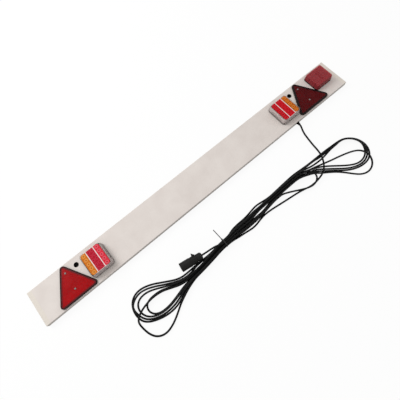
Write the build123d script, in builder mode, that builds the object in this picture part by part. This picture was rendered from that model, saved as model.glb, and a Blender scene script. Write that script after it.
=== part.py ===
from build123d import *
import math
import os

os.makedirs("parts", exist_ok=True)

# Driving dimensions in millimetres. The board lies on its back, face up: X runs along it, Y across it.

# Plank and end caps
board_length = 1500.0
board_width = 142.0
board_thickness = 20.0
board_edge_radius = 2.0
plank_wall = 2.0
web_thickness = 1.6
web_pitch = 30.0
cap_length = 18.0
cap_wall = 2.0
cap_rim_radius = 1.5
cap_fin_depth = 14.0
cap_fin_thickness = 1.6
cap_fit = 0.15

# Places of the two groups of lamp, strap hole and reflector along the board
left_reflector_end = 148.0
right_reflector_end = 180.0
lamp_to_reflector = 117.5
hole_to_reflector = 46.0
strap_hole_inset = 31.5
reflector_inset = 4.0

# Strap grommets
strap_bore_radius = 5.0
grommet_wall = 2.0
grommet_flange_radius = 9.4
grommet_flange_thickness = 1.2
grommet_fit = 0.1

# Combination lamps
lamp_width = 92.0
lamp_length = 98.0
lamp_corner_radius = 13.0
gasket_thickness = 1.0
gasket_inset = 1.5
tray_height = 9.0
tray_floor = 2.5
tray_wall = 2.2
board_boss_radius = 2.5
board_boss_height = 4.0
circuit_board_thickness = 1.6
circuit_board_gap = 3.0
lens_height = 20.0
lens_face = 2.5
lens_taper = 3.4
lens_top_radius = 1.8
tongue_thickness = 1.4
tongue_depth = 1.8
tongue_fit = 0.15
amber_band = 22.4
stop_band = 28.2
tail_band = 21.4
window_bar = 3.0
window_length = 87.0
window_corner_radius = 9.5
divider_thickness = 1.6
divider_gap = 0.6
cell_rows = 5
cell_pad = 0.8
pad_corner_radius = 4.0
led_length = 3.5
led_width = 2.8
led_height = 1.9
plate_window_length = 58.0
plate_window_height = 10.0
plate_window_inset = 0.6
plate_window_depth = 4.0
flute_count = 8
flute_radius = 1.6

# Fog lamp
fog_end_distance = 80.0
fog_edge_distance = 52.5
fog_width = 89.0
fog_length = 79.0
fog_corner_radius = 10.0
fog_tray_height = 5.0
fog_lens_height = 21.5
fog_taper = 2.8
fog_top_radius = 1.6
fog_columns = 6
fog_rows = 4
fog_ridge_count = 3
fog_ridge_pitch = 4.0
fog_ridge_width = 1.6
fog_ridge_height = 0.7
fog_ridge_length = 46.0
fog_stud_spacing = 44.0

# Triangle reflectors
reflector_side = 150.0
reflector_corner_radius = 12.0
reflector_height = 7.0
reflector_floor = 2.0
reflector_rim = 3.0
reflector_recess = 0.6
reflector_fit = 0.2
reflector_bevel = 0.8
rivet_upper_rise = 104.0
rivet_lower_rise = 35.5
rivet_head_radius = 3.8
rivet_head_height = 1.6
rivet_shank_radius = 2.0
rivet_tail_radius = 3.2
rivet_tail_length = 5.0
rivet_fit = 0.1
rivet_relief = 0.6

# Lamp studs, washers and nuts
stud_radius = 2.5
stud_head_radius = 4.5
stud_head_height = 2.0
stud_end = 1.5
stud_fit = 0.25
washer_radius = 5.0
washer_thickness = 1.0
nut_across_flats = 8.0
nut_height = 4.0
thread_fit = 0.05
access_hole_radius = 8.0

# Wiring inside the plank
cable_diameter = 7.0
wire_diameter = 4.4
wire_bend_radius = 5.5
wire_hole_radius = 4.0
cable_bend_radius = 11.0
cable_row_y = -3.6
wire_row_y = 3.6
wire_row_step = 5.2
splice_radius = 7.0
splice_length = 44.0
splice_distance = 18.0

# Cable grommet in the lower edge of the plank
exit_to_reflector = 105.5
gland_neck_radius = 4.9
gland_flange_radius = 6.8
gland_flange_thickness = 1.6
gland_boot_length = 10.4
gland_boot_radius = 5.6
gland_tip_radius = 4.5
gland_fit = 0.1
cable_fit = 0.1

# Hank, tie and plug, lying on the floor beside the board, placed along it from the cable exit
hank_to_exit = 464.5
lead_straight = 12.0
plug_straight = 28.0
fan_height_left = 10.0
fan_height_right = 8.0
tie_x = -91.0
tie_width = 3.0
tie_thickness = 1.1
tie_head = 5.0
tie_tail_length = 46.0
waist_y = -250.5
waist_width = 30.0
waist_height = 20.0
tie_corner_radius = 4.0
plug_face_x = -271.0
plug_face_y = -217.0
plug_yaw = -9.0
plug_radius = 17.0
plug_length = 88.0
plug_wall = 2.8
plug_cavity_depth = 34.0
plug_body_length = 66.0
plug_grip_radius = 15.6
plug_grip_start = 40.0
plug_rib_count = 10
plug_rib_width = 2.0
plug_insert_length = 11.0
plug_insert_fit = 0.15
plug_pin_radius = 2.0
plug_pin_circle = 8.5
plug_pin_count = 6
plug_pin_recess = 8.0
plug_cap_radius = 14.2
plug_cap_nose = 9.0
plug_lug_distance = 57.0
plug_lug_rise = 8.0
plug_lug_length = 13.0
plug_lug_thickness = 8.0

# Values worked out from the driving dimensions
plank_length = board_length - 2 * cap_length
face_z = board_thickness
inner_width = board_width - 2 * plank_wall
inner_height = board_thickness - 2 * plank_wall
wall_inside_z = face_z - plank_wall
strap_y = board_width / 2 - strap_hole_inset
grommet_radius = strap_bore_radius + grommet_wall
left_reflector_x = left_reflector_end - board_length / 2
right_reflector_x = board_length / 2 - right_reflector_end
exit_x = right_reflector_x - exit_to_reflector
hank_x = exit_x - hank_to_exit
left_lamp_x = left_reflector_x + lamp_to_reflector
right_lamp_x = right_reflector_x - lamp_to_reflector
left_strap_x = left_reflector_x + hole_to_reflector
right_strap_x = right_reflector_x - hole_to_reflector
fog_x = board_length / 2 - fog_end_distance
fog_y = board_width / 2 - fog_edge_distance
tray_z = face_z + gasket_thickness
stud_seat_z = tray_z + tray_floor
board_z = stud_seat_z + board_boss_height
board_top_z = board_z + circuit_board_thickness
cable_radius = cable_diameter / 2
wire_radius = wire_diameter / 2
wire_z = board_thickness / 2
splice_start_x = exit_x + splice_distance
gland_tip_y = -board_width / 2 - gland_flange_thickness - gland_boot_length
webs_y = [-1.5 * web_pitch, -0.5 * web_pitch, 0.5 * web_pitch, 1.5 * web_pitch]
cell_edges = [-inner_width / 2] + webs_y + [inner_width / 2]
lamp_studs_at = [(x, y) for x in (left_lamp_x, right_lamp_x) for y in (-web_pitch, web_pitch)]
fog_studs_at = [(fog_x - fog_stud_spacing / 2, web_pitch), (fog_x + fog_stud_spacing / 2, web_pitch)]
wire_holes_at = [(x, wire_row_y) for x in (left_lamp_x, right_lamp_x, fog_x)]
reflector_base_y = reflector_inset - board_width / 2
sharp_side = reflector_side + 2 * reflector_corner_radius * (math.sqrt(3) - 1)
reflector_y = reflector_base_y + sharp_side / (2 * math.sqrt(3))
rivets_at = [
    (x, reflector_base_y + rise)
    for x in (left_reflector_x, right_reflector_x)
    for rise in (rivet_lower_rise, rivet_upper_rise)
]


def save(builder, name):
    """Label a finished piece and write it."""
    builder.part.label = name
    export_step(builder.part, f"parts/{name}.step")


# Plank: hollow extrusion with four webs, drilled from the front, the back and the lower edge
with BuildPart() as plank:
    with BuildSketch(Plane.YZ.offset(-plank_length / 2)):
        with Locations((0, board_thickness / 2)):
            RectangleRounded(board_width, board_thickness, board_edge_radius)
            Rectangle(inner_width, inner_height, mode=Mode.SUBTRACT)
        with Locations([(y, board_thickness / 2) for y in webs_y]):
            Rectangle(web_thickness, inner_height)
    extrude(amount=plank_length)
    with BuildSketch(Plane.XY):
        with Locations((left_strap_x, strap_y), (right_strap_x, strap_y)):
            Circle(grommet_radius + grommet_fit)
    extrude(amount=board_thickness, mode=Mode.SUBTRACT)
    with BuildSketch(Plane.XY.offset(face_z)):
        with Locations(lamp_studs_at + fog_studs_at):
            Circle(stud_radius + stud_fit)
        with Locations(wire_holes_at):
            Circle(wire_hole_radius)
        with Locations(rivets_at):
            Circle(rivet_shank_radius + rivet_fit)
    extrude(amount=-plank_wall, mode=Mode.SUBTRACT)
    with BuildSketch(Plane.XY):
        with Locations(lamp_studs_at + fog_studs_at):
            Circle(access_hole_radius)
    extrude(amount=wall_inside_z, mode=Mode.SUBTRACT)
    with BuildSketch(Plane.XY.offset(wall_inside_z)):
        with Locations(rivets_at):
            Circle(rivet_tail_radius + rivet_relief)
    extrude(amount=-inner_height, mode=Mode.SUBTRACT)
    with BuildSketch(Plane.XZ.offset(board_width / 2)):
        with Locations((exit_x, wire_z)):
            Circle(gland_neck_radius + gland_fit)
    extrude(amount=-(board_width / 2 + cable_row_y), mode=Mode.SUBTRACT)
save(plank, "plank")

# End caps: cups flush with the plank, with fins that grip the walls of its cells
for side, name in ((-1, "left"), (1, "right")):
    cap_plane = Plane(
        origin=(side * plank_length / 2, 0, board_thickness / 2), x_dir=(0, 1, 0), z_dir=(side, 0, 0)
    )
    with BuildPart() as end_cap:
        with BuildSketch(cap_plane):
            RectangleRounded(board_width, board_thickness, board_edge_radius)
        extrude(amount=cap_length)
        fillet(end_cap.faces().sort_by(Axis.X)[0 if side < 0 else -1].edges(), cap_rim_radius)
        with BuildSketch(cap_plane):
            Rectangle(inner_width, inner_height)
        extrude(amount=cap_length - cap_wall, mode=Mode.SUBTRACT)
        with BuildSketch(cap_plane.offset(cap_length - cap_wall)):
            for low, high in zip(cell_edges, cell_edges[1:]):
                low_wall = 0 if low == cell_edges[0] else web_thickness / 2
                high_wall = 0 if high == cell_edges[-1] else web_thickness / 2
                fin_step = cap_fit + cap_fin_thickness / 2
                with Locations((low + low_wall + fin_step, 0), (high - high_wall - fin_step, 0)):
                    Rectangle(cap_fin_thickness, inner_height - 2 * cap_fit)
        extrude(amount=-(cap_length - cap_wall + cap_fin_depth))
        with BuildSketch(cap_plane.offset(cap_length - cap_wall)):
            Rectangle(inner_width, inner_height)
        extrude(amount=cap_wall / 2)
    save(end_cap, f"{name}_end_cap")

# Strap grommets: flanged rubber sleeves through the full thickness
for strap_x, name in ((left_strap_x, "left"), (right_strap_x, "right")):
    with BuildPart() as strap_grommet:
        with BuildSketch(Plane((strap_x, strap_y, 0))):
            Circle(grommet_radius)
        extrude(amount=face_z)
        with BuildSketch(Plane((strap_x, strap_y, face_z))):
            Circle(grommet_flange_radius)
        extrude(amount=grommet_flange_thickness)
        chamfer(strap_grommet.edges().sort_by(Axis.Z)[-1], grommet_flange_thickness / 2)
        with BuildSketch(Plane((strap_x, strap_y, 0))):
            Circle(strap_bore_radius)
        extrude(amount=face_z + grommet_flange_thickness, mode=Mode.SUBTRACT)
    save(strap_grommet, f"{name}_strap_grommet")


def lamp_gasket(center, width, length, corner, studs):
    """Foam sheet under a lamp, with its stud and wire holes."""
    with BuildPart() as gasket:
        with BuildSketch(Plane.XY.offset(face_z)):
            with Locations(center):
                RectangleRounded(width - 2 * gasket_inset, length - 2 * gasket_inset, corner)
            with Locations(studs):
                Circle(stud_radius + stud_fit, mode=Mode.SUBTRACT)
            with Locations((center[0], wire_row_y)):
                Circle(wire_hole_radius, mode=Mode.SUBTRACT)
        extrude(amount=gasket_thickness)
    return gasket


def lamp_tray(center, width, length, corner, height, boss_grid, studs):
    """Moulded tray with an open top, circuit-board bosses, and holes for its studs and wire."""
    with BuildPart() as tray:
        with BuildSketch(Plane((center[0], center[1], tray_z))):
            RectangleRounded(width, length, corner)
        extrude(amount=height)
        with BuildSketch(Plane((center[0], center[1], stud_seat_z))):
            RectangleRounded(width - 2 * tray_wall, length - 2 * tray_wall, corner - tray_wall)
        extrude(amount=height - tray_floor, mode=Mode.SUBTRACT)
        with BuildSketch(Plane((center[0], center[1], stud_seat_z))):
            with GridLocations(boss_grid[0], boss_grid[1], 2, 2):
                Circle(board_boss_radius)
        extrude(amount=board_boss_height)
        with BuildSketch(Plane.XY.offset(tray_z)):
            with Locations(studs):
                Circle(stud_radius + stud_fit)
            with Locations((center[0], wire_row_y)):
                Circle(wire_hole_radius)
        extrude(amount=tray_floor, mode=Mode.SUBTRACT)
    return tray


def circuit_board(center, width, length):
    """Flat circuit board resting on the bosses of a tray."""
    with BuildPart() as board:
        with BuildSketch(Plane((center[0], center[1], board_z))):
            RectangleRounded(width, length, circuit_board_gap)
        extrude(amount=circuit_board_thickness)
    return board


def lens_shell(center, width, length, corner, taper, low_z, height, top_radius):
    """Hollow lens with tapered walls, a closed face and a tongue that enters the tray."""
    tongue_gap = tray_wall + tongue_fit
    tongue_inside = tongue_gap + tongue_thickness
    wall_angle = math.degrees(math.atan2(taper, height))
    with BuildPart() as lens:
        with BuildSketch(Plane((center[0], center[1], low_z))):
            RectangleRounded(width, length, corner)
        extrude(amount=height, taper=wall_angle)
        fillet(lens.faces().sort_by(Axis.Z)[-1].edges(), top_radius)
        with BuildSketch(Plane((center[0], center[1], low_z))):
            RectangleRounded(width - 2 * tongue_inside, length - 2 * tongue_inside, corner - tongue_inside)
        extrude(amount=height - lens_face, taper=wall_angle, mode=Mode.SUBTRACT)
        with BuildSketch(Plane((center[0], center[1], low_z))):
            RectangleRounded(width - 2 * tongue_gap, length - 2 * tongue_gap, corner - tongue_gap)
            RectangleRounded(
                width - 2 * tongue_inside, length - 2 * tongue_inside, corner - tongue_inside,
                mode=Mode.SUBTRACT,
            )
        extrude(amount=-tongue_depth)
    return lens


# Combination lamps: mirrored, with the amber band outermost
window_width = amber_band + stop_band + tail_band + 2 * window_bar
rim_z = tray_z + tray_height
lens_top_z = rim_z + lens_height
circuit_inset = tray_wall + tongue_fit + tongue_thickness + circuit_board_gap
lamp_board_width = lamp_width - 2 * circuit_inset
lamp_board_length = lamp_length - 2 * circuit_inset
lamp_boss_grid = (lamp_board_width - 4 * board_boss_radius, lamp_board_length - 4 * board_boss_radius)
amber_center = window_width / 2 - amber_band / 2
stop_center = window_width / 2 - amber_band - window_bar - stop_band / 2
tail_center = tail_band / 2 - window_width / 2
bar_centers = (
    window_width / 2 - amber_band - window_bar / 2,
    tail_band - window_width / 2 + window_bar / 2,
)
bands = (
    ("amber", amber_center, amber_band, 1),
    ("stop", stop_center, stop_band, 2),
    ("tail", tail_center, tail_band, 1),
)
cell_pitch = window_length / cell_rows
for side, name, lamp_x in ((-1, "left", left_lamp_x), (1, "right", right_lamp_x)):
    lamp_center = (lamp_x, 0)
    lamp_studs = [point for point in lamp_studs_at if point[0] == lamp_x]
    save(
        lamp_gasket(lamp_center, lamp_width, lamp_length, lamp_corner_radius, lamp_studs),
        f"{name}_lamp_gasket",
    )
    save(
        lamp_tray(
            lamp_center, lamp_width, lamp_length, lamp_corner_radius,
            tray_height, lamp_boss_grid, lamp_studs,
        ),
        f"{name}_lamp_base",
    )
    save(circuit_board(lamp_center, lamp_board_width, lamp_board_length), f"{name}_lamp_led_board")

    with BuildPart() as lamp_leds:
        with BuildSketch(Plane((lamp_x, 0, board_top_z))):
            for band_name, center, width, columns in bands:
                with Locations((side * center, 0)):
                    with GridLocations(width / columns, cell_pitch, columns, cell_rows):
                        Rectangle(led_width, led_length)
        extrude(amount=led_height)
    save(lamp_leds, f"{name}_lamp_leds")

    lamp_shell = lens_shell(
        lamp_center, lamp_width, lamp_length, lamp_corner_radius,
        lens_taper, rim_z, lens_height, lens_top_radius,
    )
    plate_wall_x = lamp_x - side * (lamp_width / 2 - plate_window_inset)
    plate_plane = Plane(
        origin=(plate_wall_x, 0, rim_z + plate_window_height / 2), x_dir=(0, 1, 0), z_dir=(side, 0, 0)
    )
    flute_pitch = plate_window_length / flute_count
    with BuildPart() as lamp_lens:
        add(lamp_shell.part)
        with BuildSketch(plate_plane):
            Rectangle(plate_window_length, plate_window_height)
        extrude(amount=plate_window_depth)
        with BuildSketch(Plane((plate_wall_x, 0, rim_z))):
            with GridLocations(0, flute_pitch, 1, flute_count - 1):
                Circle(flute_radius)
        extrude(amount=plate_window_height, mode=Mode.SUBTRACT)
        with BuildSketch(Plane((lamp_x, 0, lens_top_z))):
            RectangleRounded(window_width, window_length, window_corner_radius)
            with Locations([(side * center, 0) for center in bar_centers]):
                Rectangle(window_bar, window_length, mode=Mode.SUBTRACT)
        extrude(amount=-lens_face, mode=Mode.SUBTRACT)
        with BuildSketch(Plane((lamp_x, 0, lens_top_z - lens_face))):
            with Locations([(side * center, 0) for center in bar_centers]):
                Rectangle(divider_thickness, window_length)
        extrude(amount=-(lens_top_z - lens_face - board_top_z - divider_gap))
    save(lamp_lens, f"{name}_lamp_lens")

    for band_name, center, width, columns in bands:
        with BuildPart() as window:
            with BuildSketch(Plane((lamp_x, 0, lens_top_z))):
                RectangleRounded(window_width, window_length, window_corner_radius)
                with Locations((side * center, 0)):
                    Rectangle(width, window_length, mode=Mode.INTERSECT)
            extrude(amount=-lens_face)
            pad_width = width / columns - 2 * divider_thickness
            with BuildSketch(Plane((lamp_x + side * center, 0, lens_top_z - lens_face))):
                with GridLocations(width / columns, cell_pitch, columns, cell_rows):
                    RectangleRounded(pad_width, cell_pitch - 2 * divider_thickness, pad_corner_radius)
            extrude(amount=-cell_pad)
        save(window, f"{name}_lamp_{band_name}_window")

# Fog lamp: red lens on a dark tray, near the upper corner of the right end
fog_center = (fog_x, fog_y)
fog_rim_z = tray_z + fog_tray_height
fog_top_z = fog_rim_z + fog_lens_height
fog_board_width = fog_width - 2 * circuit_inset
fog_board_length = fog_length - 2 * circuit_inset
fog_boss_grid = (fog_board_width - 4 * board_boss_radius, fog_board_length - 4 * board_boss_radius)
fog_cell = (fog_board_width / fog_columns, fog_board_length / fog_rows)
save(lamp_gasket(fog_center, fog_width, fog_length, fog_corner_radius, fog_studs_at), "fog_gasket")
save(
    lamp_tray(
        fog_center, fog_width, fog_length, fog_corner_radius,
        fog_tray_height, fog_boss_grid, fog_studs_at,
    ),
    "fog_base",
)
save(circuit_board(fog_center, fog_board_width, fog_board_length), "fog_led_board")

with BuildPart() as fog_leds:
    with BuildSketch(Plane((fog_x, fog_y, board_top_z))):
        with GridLocations(fog_cell[0], fog_cell[1], fog_columns, fog_rows):
            Rectangle(led_width, led_length)
    extrude(amount=led_height)
save(fog_leds, "fog_leds")

fog_shell = lens_shell(
    fog_center, fog_width, fog_length, fog_corner_radius,
    fog_taper, fog_rim_z, fog_lens_height, fog_top_radius,
)
with BuildPart() as fog_lens:
    add(fog_shell.part)
    with BuildSketch(Plane((fog_x, fog_y, fog_top_z))):
        with GridLocations(fog_ridge_pitch, 0, fog_ridge_count, 1):
            SlotOverall(fog_ridge_length, fog_ridge_width, rotation=90)
    extrude(amount=fog_ridge_height)
    with BuildSketch(Plane((fog_x, fog_y, fog_top_z - lens_face))):
        with GridLocations(fog_cell[0], fog_cell[1], fog_columns, fog_rows):
            RectangleRounded(
                fog_cell[0] - 2 * divider_thickness, fog_cell[1] - 2 * divider_thickness, pad_corner_radius
            )
    extrude(amount=-cell_pad)
save(fog_lens, "fog_lens")


def triangle_outline(inset):
    """Rounded equilateral triangle, apex to the upper edge, drawn in by an inset."""
    RegularPolygon(sharp_side / math.sqrt(3) - 2 * inset, 3, rotation=90)
    return reflector_corner_radius - inset


# Triangle reflectors: red plate in a black rimmed tray, held by two blind rivets each
lens_outline_inset = reflector_rim + reflector_fit
reflector_top_z = face_z + reflector_height - reflector_recess
for name, reflector_x in (("left", left_reflector_x), ("right", right_reflector_x)):
    reflector_holes = [point for point in rivets_at if point[0] == reflector_x]
    with BuildPart() as reflector_tray:
        with BuildSketch(Plane((reflector_x, reflector_y, face_z))) as outline:
            corner = triangle_outline(0)
            fillet(outline.vertices(), corner)
        extrude(amount=reflector_height)
        chamfer(reflector_tray.faces().sort_by(Axis.Z)[-1].edges(), reflector_bevel)
        with BuildSketch(Plane((reflector_x, reflector_y, face_z + reflector_floor))) as outline:
            corner = triangle_outline(reflector_rim)
            fillet(outline.vertices(), corner)
        extrude(amount=reflector_height - reflector_floor, mode=Mode.SUBTRACT)
        with BuildSketch(Plane.XY.offset(face_z)):
            with Locations(reflector_holes):
                Circle(rivet_shank_radius + rivet_fit)
        extrude(amount=reflector_floor, mode=Mode.SUBTRACT)
    save(reflector_tray, f"{name}_reflector_tray")

    with BuildPart() as reflector_lens:
        with BuildSketch(Plane((reflector_x, reflector_y, face_z + reflector_floor))) as outline:
            corner = triangle_outline(lens_outline_inset)
            fillet(outline.vertices(), corner)
        extrude(amount=reflector_top_z - face_z - reflector_floor)
        chamfer(reflector_lens.faces().sort_by(Axis.Z)[-1].edges(), reflector_bevel)
        with BuildSketch(Plane.XY.offset(face_z + reflector_floor)):
            with Locations(reflector_holes):
                Circle(rivet_shank_radius + rivet_fit)
        extrude(amount=reflector_top_z - face_z - reflector_floor, mode=Mode.SUBTRACT)
    save(reflector_lens, f"{name}_reflector_lens")

with BuildPart() as reflector_rivets:
    with BuildSketch(Plane.XY.offset(wall_inside_z)):
        with Locations(rivets_at):
            Circle(rivet_shank_radius)
    extrude(amount=reflector_top_z - wall_inside_z)
    with BuildSketch(Plane.XY.offset(wall_inside_z)):
        with Locations(rivets_at):
            Circle(rivet_tail_radius)
    extrude(amount=-rivet_tail_length)
    with BuildSketch(Plane.XY.offset(reflector_top_z)):
        with Locations(rivets_at):
            Circle(rivet_head_radius)
    extrude(amount=rivet_head_height)
    chamfer(reflector_rivets.edges().group_by(Axis.Z)[-1], rivet_head_height * 0.8)
save(reflector_rivets, "reflector_rivets")

# Lamp fasteners: pressed-in studs, with washers and nuts behind the front wall
studs_at = lamp_studs_at + fog_studs_at
nut_top_z = wall_inside_z - washer_thickness
with BuildPart() as lamp_stud_group:
    with BuildSketch(Plane.XY.offset(stud_seat_z)):
        with Locations(studs_at):
            Circle(stud_head_radius)
    extrude(amount=stud_head_height)
    with BuildSketch(Plane.XY.offset(nut_top_z - nut_height - stud_end)):
        with Locations(studs_at):
            Circle(stud_radius)
    extrude(amount=stud_seat_z - nut_top_z + nut_height + stud_end)
save(lamp_stud_group, "lamp_studs")

with BuildPart() as lamp_washers:
    with BuildSketch(Plane.XY.offset(nut_top_z)):
        with Locations(studs_at):
            Circle(washer_radius)
            Circle(stud_radius + stud_fit, mode=Mode.SUBTRACT)
    extrude(amount=washer_thickness)
save(lamp_washers, "lamp_washers")

with BuildPart() as lamp_nuts:
    with BuildSketch(Plane.XY.offset(nut_top_z)):
        with Locations(studs_at):
            RegularPolygon(nut_across_flats / math.sqrt(3), 6)
            Circle(stud_radius + thread_fit, mode=Mode.SUBTRACT)
    extrude(amount=-nut_height)
save(lamp_nuts, "lamp_nuts")


def tube(route, radii, radius):
    """Round tube along straight runs joined by tangent arcs."""
    with BuildPart() as run:
        with BuildLine() as path:
            FilletPolyline(*route, radius=radii)
        route_wire = path.wire()
        with BuildSketch(Plane(origin=route_wire @ 0, z_dir=route_wire % 0)):
            Circle(radius)
        sweep(path=route_wire)
    straight_volume = math.pi * radius ** 2 * route_wire.length
    print("tube volume over section times length", round(run.part.volume / straight_volume, 4))
    return run


# Wiring inside the plank: main cable to a splice, and a lead from there to each lamp
splice_end_x = splice_start_x + splice_length
with BuildPart() as wire_splice:
    with BuildSketch(Plane(origin=(splice_start_x, 0, wire_z), x_dir=(0, 1, 0), z_dir=(1, 0, 0))):
        Circle(splice_radius)
    extrude(amount=splice_length)
save(wire_splice, "wire_splice")

inner_cable = tube(
    [
        (exit_x, gland_tip_y, wire_z),
        (exit_x, cable_row_y, wire_z),
        (splice_start_x, cable_row_y, wire_z),
    ],
    cable_bend_radius,
    cable_radius,
)
save(inner_cable, "inner_cable")

lamp_wires = (
    ("left_lamp_wire", splice_start_x, left_lamp_x, wire_z - wire_row_step / 2),
    ("right_lamp_wire", splice_start_x, right_lamp_x, wire_z + wire_row_step / 2),
    ("fog_lamp_wire", splice_end_x, fog_x, wire_z),
)
for name, start_x, end_x, run_z in lamp_wires:
    lamp_wire = tube(
        [(start_x, wire_row_y, run_z), (end_x, wire_row_y, run_z), (end_x, wire_row_y, board_z)],
        wire_bend_radius,
        wire_radius,
    )
    save(lamp_wire, name)

# Cable grommet: rubber, snapped into the lower wall, with a tapered boot
gland_plane = Plane(origin=(exit_x, -board_width / 2, wire_z), x_dir=(0, -1, 0), z_dir=(1, 0, 0))
with BuildPart() as cable_grommet:
    with BuildSketch(gland_plane):
        with BuildLine():
            Polyline(
                (-plank_wall - gland_flange_thickness, cable_radius + cable_fit),
                (-plank_wall - gland_flange_thickness, gland_flange_radius),
                (-plank_wall, gland_flange_radius),
                (-plank_wall, gland_neck_radius),
                (0, gland_neck_radius),
                (0, gland_flange_radius),
                (gland_flange_thickness, gland_flange_radius),
                (gland_flange_thickness, gland_boot_radius),
                (gland_flange_thickness + gland_boot_length, gland_tip_radius),
                (gland_flange_thickness + gland_boot_length, cable_radius + cable_fit),
                close=True,
            )
        make_face()
    revolve(axis=Axis((exit_x, -board_width / 2, wire_z), (0, -1, 0)))
save(cable_grommet, "cable_grommet")


def bend_radii(route):
    """Largest arc that the two runs beside each corner allow."""
    radii = []
    for before, corner, after in zip(route, route[1:], route[2:]):
        run_in = Vector(corner) - Vector(before)
        run_out = Vector(after) - Vector(corner)
        half_turn = math.radians(run_in.get_angle(run_out) / 2)
        radii.append(0.45 * min(run_in.length, run_out.length) / math.tan(half_turn))
    return radii


# Free cable: out of the grommet, over the near loop of the hank, and back along its side
lead_joint = (hank_x + 112, -268, 3.7)
lead_route = [
    (exit_x, gland_tip_y, wire_z),
    (exit_x, gland_tip_y - lead_straight, wire_z),
    (hank_x + 459.5, -111, 8.2),
    (hank_x + 452.5, -129, 5.2),
    (hank_x + 446, -151, 4.4),
    (hank_x + 441, -176, 7),
    (hank_x + 436.5, -200, 13.4),
    (hank_x + 432, -221, 18.4),
    (hank_x + 424, -243, 19.4),
    (hank_x + 412, -265, 19.2),
    (hank_x + 394, -285, 17.6),
    (hank_x + 370, -301, 12.4),
    (hank_x + 342, -308.5, 6.6),
    (hank_x + 312, -311, 4),
    (hank_x + 280, -305, 3.7),
    (hank_x + 245, -293, 3.8),
    (hank_x + 205, -280.5, 3.7),
    (hank_x + 158, -268.6, 3.8),
    lead_joint,
]
lead_radii = bend_radii(lead_route)
print("cable_lead radii", [round(radius) for radius in lead_radii])
cable_lead = tube(lead_route, lead_radii, cable_radius)
save(cable_lead, "cable_lead")

plug_axis = Vector(math.cos(math.radians(plug_yaw)), math.sin(math.radians(plug_yaw)), 0)
plug_face = Vector(hank_x + plug_face_x, plug_face_y, plug_radius)
plug_rear = plug_face + plug_axis * plug_length
plug_joint = Vector(hank_x - 134, -241.5, 18.4)
plug_route = [plug_joint, plug_rear + plug_axis * plug_straight, plug_rear]
plug_radii = bend_radii(plug_route)
print("plug_cable radii", [round(radius) for radius in plug_radii])
plug_cable = tube(plug_route, plug_radii, cable_radius)
save(plug_cable, "plug_cable")

# Hank: a tied bundle whose ends fan out into loops, with stubs where the cable leaves it
bundle_stations = (
    (-305, -266, 54, 0, 10),
    (-200, -264, 31, 0, 13),
    (-140, -257, 27, 0, 15.5),
    (tie_x - tie_width, waist_y, waist_width, tie_thickness + 0.1, waist_height),
    (tie_x + tie_width, waist_y, waist_width, tie_thickness + 0.1, waist_height),
    (-8, -251, 46, 0, 15),
    (66, -248, 54, 0, 14),
    (141, -240, 34, 0, 15),
    (245, -233, 38, 0, 11),
)
left_fan = [
    (-215, -250), (-300, -234), (-353, -208), (-420, -177), (-453, -177), (-478, -190), (-492, -216),
    (-502, -266), (-502, -298), (-478, -346), (-450, -356), (-391, -341), (-352, -316), (-300, -291),
    (-215, -277),
]
left_hole = [
    (-325, -254), (-355, -268), (-400, -287), (-424, -281), (-437, -260), (-424, -239), (-394, -238),
]
lower_hole = [(-484, -292), (-440, -301), (-392, -310), (-376, -318), (-420, -341), (-460, -341)]
right_fan = [
    (215, -217), (300, -221), (440, -228), (510, -231), (550, -238), (584, -262), (597, -300), (586, -340),
    (556, -390), (524, -403), (492, -400), (438, -351), (404, -304), (358, -292), (336, -299), (262, -288),
    (215, -262),
]
right_hole = [
    (440, -253), (510, -243), (550, -252), (576, -282), (576, -314), (546, -342), (500, -334), (456, -298),
]
with BuildPart() as cable_hank:
    for station_x, station_y, width, low_z, height in bundle_stations:
        station = (hank_x + station_x, station_y, low_z + height / 2)
        with BuildSketch(Plane(origin=station, x_dir=(0, 1, 0), z_dir=(1, 0, 0))):
            RectangleRounded(width, height, 0.42 * height)
    loft(ruled=True)
    with BuildSketch(Plane((hank_x, 0, 0))):
        with BuildLine():
            Spline(*left_fan, periodic=True)
        make_face()
        for outline in (left_hole, lower_hole):
            with BuildLine():
                Spline(*outline, periodic=True)
            make_face(mode=Mode.SUBTRACT)
    extrude(amount=fan_height_left)
    with BuildSketch(Plane((hank_x, 0, 0))):
        with BuildLine():
            Spline(*right_fan, periodic=True)
        make_face()
        with BuildLine():
            Spline(*right_hole, periodic=True)
        make_face(mode=Mode.SUBTRACT)
    extrude(amount=fan_height_right)
    with BuildSketch(Plane(origin=lead_joint, z_dir=Vector(lead_route[-1]) - Vector(lead_route[-2]))):
        Circle(cable_radius)
    extrude(amount=50)
    with BuildSketch(Plane(origin=plug_joint, z_dir=plug_route[0] - plug_route[1])):
        Circle(cable_radius)
    extrude(amount=24)
save(cable_hank, "cable_hank")

# Tie: thin band round the waist of the hank, with a head and a loose tail that droops to the floor
tie_origin = (hank_x + tie_x - tie_width / 2, waist_y, tie_thickness + 0.1 + waist_height / 2)
tie_plane = Plane(origin=tie_origin, x_dir=(0, 1, 0), z_dir=(1, 0, 0))
with BuildPart() as cable_tie:
    with BuildSketch(tie_plane):
        RectangleRounded(
            waist_width + 2 * tie_thickness,
            waist_height + 2 * tie_thickness,
            tie_corner_radius + tie_thickness,
        )
        RectangleRounded(waist_width, waist_height, tie_corner_radius, mode=Mode.SUBTRACT)
    extrude(amount=tie_width)
    with BuildSketch(tie_plane.offset(tie_width / 2 - tie_head / 2)):
        with Locations((waist_width / 2 + tie_head / 2, 0)):
            Rectangle(tie_head, tie_head)
    extrude(amount=tie_head)
    with BuildSketch(tie_plane):
        with BuildLine():
            Polyline(
                (waist_width / 2 + tie_head - 1, tie_thickness / 2),
                (waist_width / 2 + tie_head + tie_tail_length, tie_thickness - waist_height / 2),
                (waist_width / 2 + tie_head + tie_tail_length, -waist_height / 2),
                (waist_width / 2 + tie_head - 1, -tie_thickness / 2),
                close=True,
            )
        make_face()
    extrude(amount=tie_width)
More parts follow.
